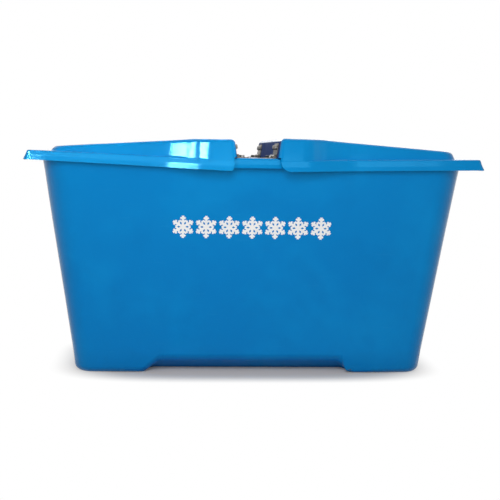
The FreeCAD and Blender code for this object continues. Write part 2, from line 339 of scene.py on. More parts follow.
def addMath(tree, operation, first, second, clamp=False):
    return addNode(tree, "Math", {0: first, 1: second}, operation=operation, use_clamp=clamp).outputs[0]


def addRange(tree, value, low, high, fromLow=0.3, fromHigh=0.7):
    inputs = {"Value": value, "From Min": fromLow, "From Max": fromHigh, "To Min": low, "To Max": high}
    return addNode(tree, "MapRange", inputs, interpolation_type="SMOOTHSTEP").outputs["Result"]


def addNoise(tree, vector, scale, detail, roughness=0.5, stretched=None, turned=origin):
    if stretched:
        inputs = {"Vector": vector, "Scale": stretched, "Rotation": turned}
        vector = addNode(tree, "Mapping", inputs).outputs["Vector"]
    inputs = {"Vector": vector, "Scale": scale, "Detail": detail, "Roughness": roughness}
    return addNode(tree, "TexNoise", inputs).outputs["Fac"]


def addMask(tree, place, noise, spread):
    # noise: scale, detail, roughness; spread: the values at its low and high end, and these ends
    return addRange(tree, addNoise(tree, place, *noise), *spread)


def addBlend(tree, factor, first, second):
    return addNode(tree, "Mix", {0: factor, 6: first, 7: second}, data_type="RGBA").outputs[2]


def addBump(tree, height, distance, *under):
    inputs = {"Strength": 1.0, "Distance": distance, "Height": height}
    for normal in under:
        inputs["Normal"] = normal
    return addNode(tree, "Bump", inputs).outputs["Normal"]


def addSurface(tree, inputs):
    shader = addNode(tree, "BsdfPrincipled", inputs)
    addNode(tree, "OutputMaterial", {"Surface": shader.outputs["BSDF"]})


# Camera and studio

cameraFit = {
    "place": (-0.2842, -3.6533, 0.7491),
    "yaw": 4.669,        # degrees to the right of +Y
    "pitch": -5.461,     # degrees above the horizon
    "roll": 1.149,
    "lens": 72.52,       # millimetres
    "sensor": 36.0,
    "clipStart": 0.05,
}

studio = {
    "worldLevel": 0.165,      # what the room adds to the light on the bin
    "aim": (0.0, 0.0, 0.42),
    "softboxes": {
        "front": {"place": (0.1, -4.4, 1.1), "size": (3.0, 0.9), "power": 25.0},
        "key": {"place": (-0.2, -2.1, 1.45), "size": (0.7, 0.5), "power": 11.5},
        "fill": {"place": (-0.5, -2.1, 0.97), "size": (1.3, 0.5), "power": 8.5},
        "leftSide": {"place": (-2.6, -1.7, 1.2), "size": (1.2, 1.0), "power": 5.0},
        "rightSide": {"place": (2.6, -1.6, 1.3), "size": (1.2, 1.0), "power": 3.0},
        "overhead": {"place": (0.2, 0.4, 3.4), "size": (3.0, 1.8), "power": 18.0},
        "backWash": {"place": (0.6, 3.6, 2.0), "size": (3.0, 1.6), "power": 30.0},
    },
    "unmirrored": ("key", "fill"),      # their images would show on the left crown
    # a window that shows only as a mirror image on the left lid
    "window": {
        "place": (-1.84, -2.665, 1.370),
        "aim": (-0.25, -0.40, 0.76),
        "size": (1.80, 0.25),
        "power": 235.0,
        "color": (1.0, 0.76, 0.70),
    },
}

floorLook = {
    "size": 40.0,
    "color": (0.84, 0.750, 0.665, 1.0),
    "liftColor": (1.0, 0.985, 0.965, 1.0),
    "lift": 0.05,                 # brings the open floor to white in the picture only
    "shadedHalf": (0.70, 0.43),   # the rounded field under the bin that keeps its shadow
    "fadeFrom": 0.48,
}


def makeCamera():
    bpy.ops.object.camera_add()
    camera = bpy.context.object
    camera.name = "photoCamera"
    camera.data.sensor_width = cameraFit["sensor"]
    camera.data.lens = cameraFit["lens"]
    camera.data.clip_start = cameraFit["clipStart"]
    turn = (Matrix.Rotation(-math.radians(cameraFit["yaw"]), 4, "Z")
            @ Matrix.Rotation(math.radians(90.0 + cameraFit["pitch"]), 4, "X")
            @ Matrix.Rotation(math.radians(cameraFit["roll"]), 4, "Z"))
    camera.matrix_world = Matrix.Translation(cameraFit["place"]) @ turn
    bpy.context.scene.camera = camera


def makeSoftbox(name, box):
    bpy.ops.object.light_add(type="AREA", location=box["place"])
    lamp = bpy.context.object
    lamp.name = name
    lamp.data.shape = "RECTANGLE"
    lamp.data.size, lamp.data.size_y = box["size"]
    lamp.data.energy = box["power"]
    lookAt = Vector(box.get("aim", studio["aim"])) - Vector(box["place"])
    lamp.rotation_euler = lookAt.to_track_quat("-Z", "Y").to_euler()
    lamp.visible_glossy = name not in studio["unmirrored"]
    return lamp


def makeWindow():
    # it lights only what is linked to the collection that is returned
    window = makeSoftbox("window", studio["window"])
    window.visible_diffuse = False
    window.data.shape = "ELLIPSE"
    window.data.color = studio["window"]["color"]
    receivers = bpy.data.collections.new("mirrorsWindow")
    window.light_linking.receiver_collection = receivers
    return receivers


def splitRays(tree, lit, shown):
    # shown is what the camera gets, also in a mirror or through glass, and lit what lights the bin
    rays = addNode(tree, "LightPath", {}).outputs
    either = addMath(tree, "MAXIMUM", rays["Is Camera Ray"], rays["Is Glossy Ray"])
    either = addMath(tree, "MAXIMUM", either, rays["Is Transmission Ray"])
    return addNode(tree, "MixShader", {"Fac": either, 1: lit, 2: shown}).outputs[0]


def makeWorld():
    world = bpy.context.scene.world or bpy.data.worlds.new("studioWorld")
    bpy.context.scene.world = world
    world.use_nodes = True
    tree = world.node_tree
    tree.nodes.clear()
    lit = addNode(tree, "Background", {"Color": white, "Strength": studio["worldLevel"]}).outputs[0]
    shown = addNode(tree, "Background", {"Color": white, "Strength": 1.0}).outputs[0]
    addNode(tree, "OutputWorld", {"Surface": splitRays(tree, lit, shown)})


def makeFloor():
    bpy.ops.mesh.primitive_plane_add(size=floorLook["size"], location=origin)
    floor = bpy.context.object
    floor.name = "studioFloor"
    applyPlace(floor)
    material, tree = newMaterial("paleFloor")
    shaded = addNode(tree, "BsdfDiffuse", {"Color": floorLook["color"]}).outputs[0]
    lift = addNode(tree, "Emission", {"Color": floorLook["liftColor"], "Strength": floorLook["lift"]})
    near = addNode(tree, "AddShader", {0: shaded, 1: lift.outputs[0]})
    # white far from the bin, so that no horizon shows
    far = addNode(tree, "Emission", {"Color": white, "Strength": 1.0})
    halfX, halfY = floorLook["shadedHalf"]
    inputs = {"Vector": objectPlace(tree), "Scale": (1.0 / halfX, 1.0 / halfY, 0.0)}
    field = addNode(tree, "Mapping", inputs).outputs["Vector"]
    squared = addNode(tree, "VectorMath", {0: field, 1: field}, operation="MULTIPLY").outputs["Vector"]
    away = addNode(tree, "VectorMath", {0: squared}, operation="LENGTH").outputs["Value"]
    fade = addRange(tree, away, 0.0, 1.0, floorLook["fadeFrom"], 1.0)
    pictured = addNode(tree, "MixShader", {"Fac": fade, 1: near.outputs[0], 2: far.outputs[0]})
    addNode(tree, "OutputMaterial", {"Surface": splitRays(tree, shaded, pictured.outputs[0])})
    floor.data.materials.append(material)


makeCamera()
makeWorld()
makeFloor()
for softboxName, softbox in studio["softboxes"].items():
    makeSoftbox(softboxName, softbox)
mirrorsWindow = makeWindow()
print("camera, floor and lights made")


# Finishes

def newGroup(name, numbers, outputs):
    # a node group with named numbers in and named values out
    group = bpy.data.node_groups.new(name, "ShaderNodeTree")
    for key, value in numbers.items():
        socket = group.interface.new_socket(name=key, in_out="INPUT", socket_type="NodeSocketFloat")
        socket.default_value = value
    for key in outputs:
        group.interface.new_socket(name=key, in_out="OUTPUT", socket_type="NodeSocketFloat")
    given = group.nodes.new("NodeGroupInput").outputs
    result = group.nodes.new("NodeGroupOutput").inputs
    return group, given, result


def useGroup(tree, group, inputs):
    return addNode(tree, "Group", inputs, node_tree=group).outputs


handlingLook = {
    "scales": {"Scratch Scale": 9.0, "Scuff Scale": 6.0},
    "turns": ((0.3, 0.2, 0.5), (0.9, -0.4, 1.7), (-0.5, 0.7, 2.6)),
    "drawnOut": (1.0, 14.0, 14.0),
    "scratch": ((1.0, 0.5), (0.0, 1.0, 0.74, 0.78)),
    "scuff": ((8.0, 0.62), (0.0, 1.0, 0.56, 0.70)),
}

heightLook = {
    "heights": {"Low": 0.0, "High": 0.1, "Ragged": 0.03},
    "ragged": (14.0, 6.0, 0.6),
}


def makeHandlingGroup(look):
    # fine scratches and broader scuffs that a gritting crew leaves on a surface
    group, given, result = newGroup("handlingMarks", look["scales"], ("Scratches", "Scuffs"))
    place = objectPlace(group)
    noise, spread = look["scratch"]
    scratches = 0.0
    for turn in look["turns"]:
        line = addNoise(group, place, given["Scratch Scale"], *noise, look["drawnOut"], turn)
        scratches = addMath(group, "MAXIMUM", scratches, addRange(group, line, *spread))
    group.links.new(scratches, result["Scratches"])
    noise, spread = look["scuff"]
    scuffs = addMask(group, place, (given["Scuff Scale"], *noise), spread)
    group.links.new(scuffs, result["Scuffs"])
    return group


def makeHeightGroup(look):
    # 1 at the low height, fading to 0 at the high one, with a ragged upper edge
    group, given, result = newGroup("raggedHeight", look["heights"], ("Mask",))
    place = objectPlace(group)
    split = addNode(group, "SeparateXYZ", {"Vector": place}).outputs
    centred = addMath(group, "SUBTRACT", addNoise(group, place, *look["ragged"]), 0.5)
    sway = addMath(group, "MULTIPLY", centred, given["Ragged"])
    height = addMath(group, "ADD", split["Z"], sway)
    span = addMath(group, "SUBTRACT", given["High"], given["Low"])
    above = addMath(group, "SUBTRACT", given["High"], height)
    group.links.new(addMath(group, "DIVIDE", above, span, clamp=True), result["Mask"])
    return group


handlingMarks = makeHandlingGroup(handlingLook)
raggedHeight = makeHeightGroup(heightLook)

gelCoatLook = {
    "color": (0.0006, 0.190, 0.540, 1.0),
    "pale": (0.0020, 0.258, 0.640, 1.0),
    "deep": (0.0004, 0.160, 0.480, 1.0),
    "grime": (0.012, 0.085, 0.190, 1.0),
    "rubbed": (0.030, 0.300, 0.640, 1.0),
    "mirrorTint": (0.12, 0.62, 0.95, 1.0),
    "mirror": 0.42,
    "roughness": (0.08, 0.14),
    "sheen": (5.0, 6.0, 0.6),
    "cloud": ((3.2, 4.0, 0.55), (0.0, 0.55, 0.42, 0.72)),
    "pool": ((7.0, 3.0, 0.5), (0.0, 0.45, 0.48, 0.76)),
    "fleck": ((160.0, 2.0, 0.5), (0.0, 0.16, 0.55, 0.75)),
    # painted light: the coat pales towards the top, where more light falls
    "topLightHeights": {"Low": 0.30, "High": 0.85, "Ragged": 0.10},
    "topLight": 0.40,
    "splashHeights": {"Low": 0.0, "High": 0.085, "Ragged": 0.11},
    "dirt": 0.22,
    "dirtDulls": 0.8,
    "rubs": 0.08,
    "scuffs": 0.10,
    # bumps: scale and detail of the noise, and height
    "ripple": (5.5, 1.0, 0.0022),
    "orangePeel": (420.0, 1.0, 0.00006),
    "scratch": 0.00004,
}

# painted shade: the lids' end walls beside the hinges get a dark, dull coat that stands in for the shade in
# the gap between the lids
shadedEndWallLook = {
    **gelCoatLook,
    "color": (0.013, 0.046, 0.200, 1.0),
    "pale": (0.016, 0.064, 0.220, 1.0),
    "deep": (0.009, 0.032, 0.115, 1.0),
    "rubbed": (0.020, 0.090, 0.220, 1.0),
    "mirror": 0.04,
    "roughness": (0.55, 0.75),
}

# painted light: the lids and the bridge get a slightly lighter copy of the tub's coat, for the more light
# they catch
litLidLook = {
    **gelCoatLook,
    "color": (0.0006, 0.214, 0.570, 1.0),
    "pale": (0.0020, 0.288, 0.670, 1.0),
    "deep": (0.0004, 0.182, 0.510, 1.0),
}

mouldedLook = {
    **gelCoatLook,
    "color": (0.0006, 0.185, 0.600, 1.0),
    "mirror": 0.12,
    "roughness": (0.40, 0.60),
}


def makeGelCoat(name, look):
    material, tree = newMaterial(name)
    place = objectPlace(tree)
    # pigment that sits a little unevenly in the resin
    color = look["color"]
    for mask, other in (("cloud", "pale"), ("pool", "deep"), ("fleck", "pale")):
        color = addBlend(tree, addMask(tree, place, *look[mask]), color, look[other])
    # painted light: the upper part is a little paler, where more light falls on it
    shade = useGroup(tree, raggedHeight, look["topLightHeights"])["Mask"]
    paintedTopLight = addMath(tree, "MULTIPLY", addMath(tree, "SUBTRACT", 1.0, shade), look["topLight"])
    color = addBlend(tree, paintedTopLight, color, look["pale"])
    # splashes and dust low down, and fine rubs all over
    splash = useGroup(tree, raggedHeight, look["splashHeights"])["Mask"]
    dirt = addMath(tree, "MULTIPLY", splash, look["dirt"])
    color = addBlend(tree, dirt, color, look["grime"])
    marks = useGroup(tree, handlingMarks, {})
    rubs = addMath(tree, "MULTIPLY", marks["Scratches"], look["rubs"])
    color = addBlend(tree, rubs, color, look["rubbed"])
    gloss = addMask(tree, place, look["sheen"], look["roughness"])
    gloss = addMath(tree, "ADD", gloss, addMath(tree, "MULTIPLY", marks["Scuffs"], look["scuffs"]))
    gloss = addMath(tree, "ADD", gloss, addMath(tree, "MULTIPLY", dirt, look["dirtDulls"]), clamp=True)
    under = []
    for scale, detail, height in (look["ripple"], look["orangePeel"]):
        under = [addBump(tree, addNoise(tree, place, scale, detail), height, *under)]
    addSurface(tree, {
        "Base Color": color,
        "Roughness": gloss,
        "Normal": addBump(tree, marks["Scratches"], -look["scratch"], *under),
        "Specular Tint": look["mirrorTint"],
        "Specular IOR Level": look["mirror"],
    })
    return material


laminateLook = {
    "resin": (0.010, 0.085, 0.200, 1.0),
    "strand": (0.030, 0.150, 0.300, 1.0),
    "salt": (0.46, 0.44, 0.40, 1.0),
    "mirrorTint": (0.5, 0.8, 1.0, 1.0),
    "roughness": (0.38, 0.62),
    "turns": ((0.0, 0.4, 0.3), (0.8, 0.0, 1.4), (0.4, 1.1, 2.4), (1.3, 0.5, 0.9)),
    "strands": ((16.0, 2.0, 0.5, (1.0, 9.0, 9.0)), (0.0, 1.0, 0.56, 0.64)),
    "strandTint": 0.6,
    "strandHeight": 0.0005,
    "dust": (9.0, 8.0, 0.65),
    "dusted": (0.0, 0.30, 0.52, 0.74),
    "lumps": (30.0, 4.0),
    "lumpHeight": 0.0020,
}


def makeLaminate(look):
    # the rough inner face: chopped glass strands rolled into pigmented resin
    material, tree = newMaterial("strandLaminate")
    place = objectPlace(tree)
    noise, spread = look["strands"]
    strand = 0.0
    for turn in look["turns"]:
        strand = addMath(tree, "MAXIMUM", strand, addMask(tree, place, (*noise, turn), spread))
    tinted = addMath(tree, "MULTIPLY", strand, look["strandTint"])
    color = addBlend(tree, tinted, look["resin"], look["strand"])
    dust = addNoise(tree, place, *look["dust"])
    normal = addBump(tree, strand, look["strandHeight"])
    addSurface(tree, {
        "Base Color": addBlend(tree, addRange(tree, dust, *look["dusted"]), color, look["salt"]),
        "Roughness": addRange(tree, dust, *look["roughness"]),
        "Normal": addBump(tree, addNoise(tree, place, *look["lumps"]), look["lumpHeight"], normal),
        "Specular Tint": look["mirrorTint"],
    })
    return material


hingeSteelLook = {
    "color": (0.175, 0.168, 0.150, 1.0),
    "shade": (0.126, 0.12096, 0.108, 1.0),
    "stain": (0.10, 0.075, 0.045, 1.0),
    "roughness": (0.36, 0.54),
    "brush": (14.0, 1.0, 14.0),      # drawn along Y
    "grain": (40.0, 3.0, 0.6),
    "shaded": (0.0, 0.7),
    "grainHeight": 0.00003,
    "spots": (45.0, 8.0, 0.65),
    "stained": (0.0, 0.55, 0.52, 0.72),
    "dulled": (0.0, 0.18, 0.50, 0.72),
    "spotHeight": 0.00010,
}

zincSteelLook = {
    **hingeSteelLook,
    "color": (0.23, 0.226, 0.218, 1.0),
    "shade": (0.1656, 0.16272, 0.15696, 1.0),
    "stain": (0.30, 0.25, 0.19, 1.0),
    "roughness": (0.24, 0.40),
    "brush": (6.0, 6.0, 1.0),        # drawn along Z
}


def makeSteel(name, look):
    # bare or plated steel with a drawn grain, tea-stained where water sits
    material, tree = newMaterial(name)
    place = objectPlace(tree)
    grain = addNoise(tree, place, *look["grain"], look["brush"])
    spots = addNoise(tree, place, *look["spots"])
    tone = addBlend(tree, addRange(tree, grain, *look["shaded"]), look["color"], look["shade"])
    gloss = addRange(tree, grain, *look["roughness"])
    normal = addBump(tree, grain, look["grainHeight"])
    addSurface(tree, {
        "Base Color": addBlend(tree, addRange(tree, spots, *look["stained"]), tone, look["stain"]),
        "Roughness": addMath(tree, "ADD", gloss, addRange(tree, spots, *look["dulled"])),
        "Normal": addBump(tree, spots, look["spotHeight"], normal),
        "Metallic": 1.0,
    })
    return material


whiteLook = {
    "color": (0.86, 0.87, 0.88, 1.0),
    "worn": (0.60, 0.68, 0.76, 1.0),
    "roughness": (0.36, 0.52),
    "chalk": (24.0, 6.0, 0.6),
    "chalked": (0.0, 0.25, 0.45, 0.75),
    "markScales": {"Scratch Scale": 22.0, "Scuff Scale": 18.0},
    "scratches": 0.5,
    "scuffHeight": 0.00004,
}


def makeWhiteMarking(look):
    material, tree = newMaterial("whiteMarking")
    chalk = addNoise(tree, objectPlace(tree), *look["chalk"])
    marks = useGroup(tree, handlingMarks, look["markScales"])
    color = addBlend(tree, addRange(tree, chalk, *look["chalked"]), look["color"], look["worn"])
    scratched = addMath(tree, "MULTIPLY", marks["Scratches"], look["scratches"])
    addSurface(tree, {
        "Base Color": addBlend(tree, scratched, color, look["worn"]),
        "Roughness": addRange(tree, chalk, *look["roughness"]),
        "Normal": addBump(tree, marks["Scuffs"], look["scuffHeight"]),
    })
    return material


def wear(node, material):
    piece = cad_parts[node]
    piece.data.materials.clear()
    piece.data.materials.append(material)


blueGelCoat = makeGelCoat("blueGelCoat", gelCoatLook)
# painted shade for the lids' end walls in the gap
paintedShadeGelCoat = makeGelCoat("paintedShadeGelCoat", shadedEndWallLook)
# painted light: the lighter copy of the coat for the lids and the bridge
paintedLightLidGelCoat = makeGelCoat("paintedLightLidGelCoat", litLidLook)
mouldedGelCoat = makeGelCoat("mouldedGelCoat", mouldedLook)
strandLaminate = makeLaminate(laminateLook)
hingeSteel = makeSteel("hingeSteel", hingeSteelLook)
zincSteel = makeSteel("zincSteel", zincSteelLook)
whiteMarking = makeWhiteMarking(whiteLook)
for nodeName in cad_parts:
    if nodeName.endswith(("leaf", "pin")):
        wear(nodeName, hingeSteel)
    elif nodeName.endswith(("bolts", "washers", "nuts")):
        wear(nodeName, zincSteel)
print("finishes made")


# Tub

tubShape = {
    "baseHalfX": 0.595,
    "baseHalfY": 0.263,
    "draft": 0.145,          # outward lean of all four walls
    "baseCorner": 0.058,
    "rimCorner": 0.092,
    "cornerSteps": 14,
    "bottomRound": 0.022,
    "bottomSteps": 7,
    "rimTop": 0.724,
    "rimLevelHalf": 0.118,   # level under the bridge, rising beyond
    "rimTilt": {"left": 1.66, "right": 1.25},   # degrees
    "blankTop": 0.80,        # the blank stands proud of the rim until it is trimmed
    "lipWidth": 0.013,
    "lipAt": 0.70,           # x at which the lip has this width
    "wall": 0.005,
    "netStep": 0.085,
    "netAcross": range(-8, 9),
    "netAlong": range(-4, 5),
    "netUp": range(1, 9),
    "stillFoot": 0.07,       # the walls stay true below this height
    "stillRim": 0.03,        # and this near to the rim
    "wander": 0.0022,
    "wanderSize": 0.30,
}

undercutShape = {
    "height": 0.050,
    "depth": 0.105,
    "halfTop": 0.308,
    "halfFloor": 0.402,
    "halfBack": 0.326,       # its ends draw together under the tub
    "round": 0.019,
    "steps": 7,
    "wedgeBelow": 0.02,      # how far the cutting wedge runs past the tub
    "wedgeOutside": 0.45,
    "ceilingFrom": 0.004,
    "ceilingTurn": -0.55,    # faces that look down more than this belong to the ceiling
}


def tubCorners(z):
    shape = tubShape
    halfX = shape["baseHalfX"] + shape["draft"] * z
    halfY = shape["baseHalfY"] + shape["draft"] * z
    radius = shape["baseCorner"] + (shape["rimCorner"] - shape["baseCorner"]) * z / shape["rimTop"]
    return rectangle(halfX, halfY, radius)


def cutUndercut(tub, front):
    # the wedge of air between the feet, front is -1 or 1 for the back
    shape = undercutShape
    halfTop = shape["halfTop"]
    whole = shape["height"] + shape["wedgeBelow"]
    slope = shape["depth"] / shape["height"]
    lean = (shape["halfFloor"] - halfTop) / shape["height"]
    brow = tubShape["baseHalfY"] + tubShape["draft"] * shape["height"]
    low = (-halfTop, -shape["wedgeOutside"], -shape["wedgeBelow"])
    wedge = block("undercutWedge", low, (halfTop, -brow, shape["height"]))
    pickPoints(wedge, lambda co: co.z < 0.0)
    stretch(((halfTop + lean * whole) / halfTop, 1.0, 1.0))
    pickPoints(wedge, lambda co: co.z < 0.0 and co.y > -brow - slack["brow"])
    shift((0.0, slope * whole, 0.0))
    stretch((shape["halfBack"] / shape["halfFloor"], 1.0, 1.0))
    leaveEdit()
    if front > 0:
        wedge.rotation_euler = (0.0, 0.0, math.pi)
        applyPlace(wedge)
    combine(tub, wedge, "DIFFERENCE")


def rimUnder(x):
    # height of the rim's underside
    shape = tubShape
    tilt = shape["rimTilt"]["left" if x < 0 else "right"]
    beyond = max(0.0, abs(x) - shape["rimLevelHalf"])
    return shape["rimTop"] - shape["wall"] + beyond * math.tan(math.radians(tilt))


def tiltNormal(side):
    tilt = math.radians(tubShape["rimTilt"][side])
    lean = math.sin(tilt) if side == "left" else -math.sin(tilt)
    return (lean, 0.0, math.cos(tilt))


def onTubFoot(co):
    # on the outline of the tub's flat bottom
    shape = tubShape
    corner = shape["baseCorner"]
    insideX = abs(co.x) - (shape["baseHalfX"] - corner)
    insideY = abs(co.y) - (shape["baseHalfY"] - corner)
    if insideX < 0.0 or insideY < 0.0:
        return max(insideX, insideY) > corner - slack["edge"]
    return math.hypot(insideX, insideY) > corner - slack["corner"]


def bordersUndercut(a, b):
    shape = undercutShape
    inside = max(abs(a.x), abs(b.x)) < shape["halfFloor"] + slack["edge"]
    high = max(a.z, b.z)
    low = min(a.z, b.z)
    atEnd = min(abs(a.x), abs(b.x)) > shape["halfTop"] - slack["edge"]
    brow = low > shape["height"] - slack["clear"]
    return inside and slack["clear"] < high < shape["height"] + slack["clear"] and (atEnd or brow)


def trimRim(tub):
    # along the rim, which rises from the bridge to both ends
    level = tubShape["rimLevelHalf"]
    cutAcross(tub, alongX, (-level, level))
    zones = (
        (lambda x: abs(x) < level, alongZ, 0.0),
        (lambda x: x < -level, tiltNormal("left"), -level),
        (lambda x: x > level, tiltNormal("right"), level),
    )
    for inZone, normal, x in zones:
        pickFaces(tub, lambda centre, faceNormal: inZone(centre.x))
        cutAlong((x, 0.0, rimUnder(level)), normal)
    dropFaces(tub, lambda centre, normal: centre.z > rimUnder(centre.x) + slack["clear"])
    mergePoints(tub)


def turnLipOut(tub):
    shape = tubShape
    pickOpenEdges(tub)
    bpy.ops.mesh.extrude_region_move()
    lean = shape["draft"] * rimUnder(shape["lipAt"])
    widen(shape["lipWidth"], shape["baseHalfX"] + lean, shape["baseHalfY"] + lean)
    leaveEdit()


def coatUndercuts(tub):
    # the undercuts' sloping ceilings were left as they came from the mould
    shape = undercutShape
    tub.data.materials.append(mouldedGelCoat)
    for face in tub.data.polygons:
        centre = face.center
        under = face.normal.z < shape["ceilingTurn"] and shape["ceilingFrom"] < centre.z < shape["height"]
        if under and face.material_index == 0 and abs(centre.x) < shape["halfFloor"]:
            face.material_index = 2


def makeTub():
    shape = tubShape
    tub = emptyPiece("tubShell")
    for z in (0.0, shape["blankTop"]):
        addOutline(tub, tubCorners(z), z, shape["cornerSteps"])
    joinOutlines(tub)
    for front in (-1, 1):
        cutUndercut(tub, front)
    # the bottom edge all round, then the undercuts' own edges
    pickEdges(tub, lambda a, b: max(a.z, b.z) < slack["clear"] and onTubFoot(a) and onTubFoot(b))
    roundEdges(shape["bottomRound"], shape["bottomSteps"])
    pickEdges(tub, bordersUndercut)
    roundEdges(undercutShape["round"], undercutShape["steps"])
    trimRim(tub)
    # a net of cuts lets the walls wander a little, as hand-laid ones do
    for axis, cuts in ((alongX, "netAcross"), (alongY, "netAlong"), (alongZ, "netUp")):
        cutAcross(tub, axis, [index * shape["netStep"] for index in shape[cuts]])
    waveWalls(tub, -1, shape["wander"], shape["wanderSize"],
              lambda co: co.z < shape["stillFoot"] or co.z > rimUnder(co.x) - shape["stillRim"])
    turnLipOut(tub)
    finishMoulding(tub, shape["wall"], -1, blueGelCoat)
    coatUndercuts(tub)
    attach(tub, "base")
    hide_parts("tub")
    return tub


tubShell = makeTub()
print("tub made")


# Lids

lidShape = {
    "pin": (0.0606245, 0.741),        # x and z of the hinge pin on the right
    "tilt": tubShape["rimTilt"],
    "flangeTop": {"left": 0.72834, "right": 0.72875},
    "skirtInner": 0.0365,             # skirt height beside the bridge
    "skirtOuter": {"left": 0.0298, "right": 0.0345},   # and at the outer end
    "skirtStart": 0.075,
    "blankBelow": 0.004,              # the blank is longer until its foot is cut
    "outerEnd": {"left": 0.7516, "right": 0.7565},
    "endLean": 0.013,
    "sideLean": 0.0008,               # the upper skirt is nearly upright
    "blockHalfY": 0.4246,
    "mainHalfY": 0.395,
    "bulgeFrom": 0.168,
    "bulgeTo": 0.300,
    "bulgeRadius": 0.25,
    "outerCorner": 0.013,
    "cornerSteps": 16,
    "lowerCorner": {"left": 0.014, "right": 0.034},   # the skirt's rounded corner beside the bridge
    "lowerSteps": 9,
    "flare": 0.0022,                  # how far the skirt's lip turns out
    "flareHeights": (0.006, 0.012, 0.018),
    "edge": 0.0045,
    "edgeSteps": 4,
    "wall": 0.005,
    "netCuts": (0.120, 0.330, 0.400, 0.470, 0.540, 0.610, 0.690),   # none on the ramp
    "netStep": 0.075,
    "netAlong": range(-5, 6),
    "stillFoot": 0.010,               # the crown stays true this near to the flange
    "stillEnd": 0.10,                 # and up to this x
    "wander": 0.0016,
    "wanderSize": 0.26,
}

crownShape = {
    "top": {"left": 0.794, "right": 0.800},
    "flatEnd": 0.205,
    "fall": 4.1,              # degrees, from flatEnd outwards
    "blockHalfY": 0.4208,     # flush with the skirt below it
    "blockEnd": 0.168,
    "rampEnd": 0.252,
    "rampRadius": 0.24,
    "rampBrow": 0.09,
    "rampSteps": 44,
    "creaseFrom": 0.226,      # the crease at the crown's foot starts on the ramp
    "mainHalfY": 0.373,
    "mainFrom": 0.31,         # x beyond the ramp
    "outerEnd": {"left": 0.666, "right": 0.669},
    "wallDraft": 5.0,         # degrees
    "endDraft": 20.0,
    "blockCorner": 0.016,
    "outerCorner": 0.048,
    "endWallFoot": (0.066, 0.737),
    "endWallHead": (0.077, 0.798),
    "endWallWithin": 0.09,
    "endWallTurn": 0.95,      # faces that look at the other lid more than this are its end wall
    "edge": 0.012,
    "edgeSteps": 6,
    "foot": 0.0035,
    "footSteps": 4,
    "blankFoot": 0.010,       # the blank reaches this far into the flange
    "blankTop": 0.84,
}


def mirroredCorners(half):
    # the front half of an outline from the bridge outwards, and the same again behind
    front = [(x, -y, radius) for x, y, radius in half]
    return front + half[::-1]


def flangeCorners(side, drawnIn):
    shape = lidShape
    block = shape["blockHalfY"] - shape["flare"] - drawnIn * shape["sideLean"]
    main = shape["mainHalfY"] - shape["flare"] - drawnIn * shape["sideLean"]
    end = shape["outerEnd"][side] - shape["flare"] - drawnIn * shape["endLean"]
    return mirroredCorners([
        (shape["skirtStart"], block, 0.0),
        (shape["bulgeFrom"], block, shape["bulgeRadius"]),
        (shape["bulgeTo"], main, shape["bulgeRadius"]),
        (end, main, shape["outerCorner"]),
    ])


def crownCorners(side, z):
    shape = crownShape
    rise = z - lidShape["flangeTop"][side]
    inY = rise * math.tan(math.radians(shape["wallDraft"]))
    inX = rise * math.tan(math.radians(shape["endDraft"]))
    footX, footZ = shape["endWallFoot"]
    headX, headZ = shape["endWallHead"]
    inner = footX + (z - footZ) * (headX - footX) / (headZ - footZ)
    return mirroredCorners([
        (inner, shape["blockHalfY"] - inY, shape["blockCorner"]),
        (shape["blockEnd"], shape["blockHalfY"] - inY, shape["rampBrow"]),
        (shape["rampEnd"], shape["mainHalfY"] - inY, shape["rampRadius"]),
        (shape["outerEnd"][side] - inX, shape["mainHalfY"] - inY, shape["outerCorner"]),
    ])


def makeCrown(side):
    shape = crownShape
    crown = emptyPiece("crownBlank")
    for z in (lidShape["flangeTop"][side] - shape["blankFoot"], shape["blankTop"]):
        addOutline(crown, crownCorners(side, z), z, shape["rampSteps"])
    joinOutlines(crown)
    # level beside the bridge once the lid is tilted, then falling to the outer end
    flatEnd = shape["flatEnd"]
    tilt = math.radians(lidShape["tilt"][side])
    fall = tilt + math.radians(shape["fall"])
    bend = shape["top"][side] - (flatEnd - shape["endWallHead"][0]) * math.tan(tilt)
    for angle in (tilt, fall):
        normal = (math.sin(angle), 0.0, math.cos(angle))
        cutThrough(crown, (flatEnd, 0.0, bend), normal, clear=True, fill=True)
    mergePoints(crown)

    def onTop(co):
        angle = tilt if co.x < flatEnd else fall
        return abs(co.z - bend + (co.x - flatEnd) * math.tan(angle)) < slack["top"]

    def onBend(co):
        return abs(co.x - flatEnd) < slack["top"]

    pickEdges(crown, lambda a, b: onTop(a) and onTop(b) and not (onBend(a) and onBend(b)))
    roundEdges(shape["edge"], shape["edgeSteps"])
    return crown


def makeFlange(side):
    shape = lidShape
    start = shape["skirtStart"]
    top = shape["flangeTop"][side]
    foot = top - shape["skirtInner"]
    flange = emptyPiece(side + "LidShell")
    addOutline(flange, flangeCorners(side, 0.0), foot - shape["blankBelow"], shape["cornerSteps"])
    addOutline(flange, flangeCorners(side, 1.0), top, shape["cornerSteps"])
    joinOutlines(flange)
    # the skirt is a little deeper beside the bridge than at its outer end
    taper = math.atan((shape["skirtInner"] - shape["skirtOuter"][side]) / (shape["outerEnd"][side] - start))
    cutThrough(flange, (start, 0.0, foot), (math.sin(taper), 0.0, -math.cos(taper)), clear=True)

    def onTopEdge(a, b):
        return min(a.z, b.z) > top - slack["level"] and max(a.x, b.x) > start + slack["clear"]

    pickEdges(flange, onTopEdge)
    roundEdges(shape["edge"], shape["edgeSteps"])
    return flange


def inCrownFoot(side, co):
    # within a hair of the crown's outline, well inside the flange's edge
    shape = crownShape
    beyondBlock = abs(co.y) > shape["blockHalfY"] + slack["clear"]
    beyondMain = abs(co.y) > shape["mainHalfY"] + slack["clear"] and co.x > shape["mainFrom"]
    return not beyondBlock and not beyondMain and co.x < shape["outerEnd"][side] + slack["clear"]


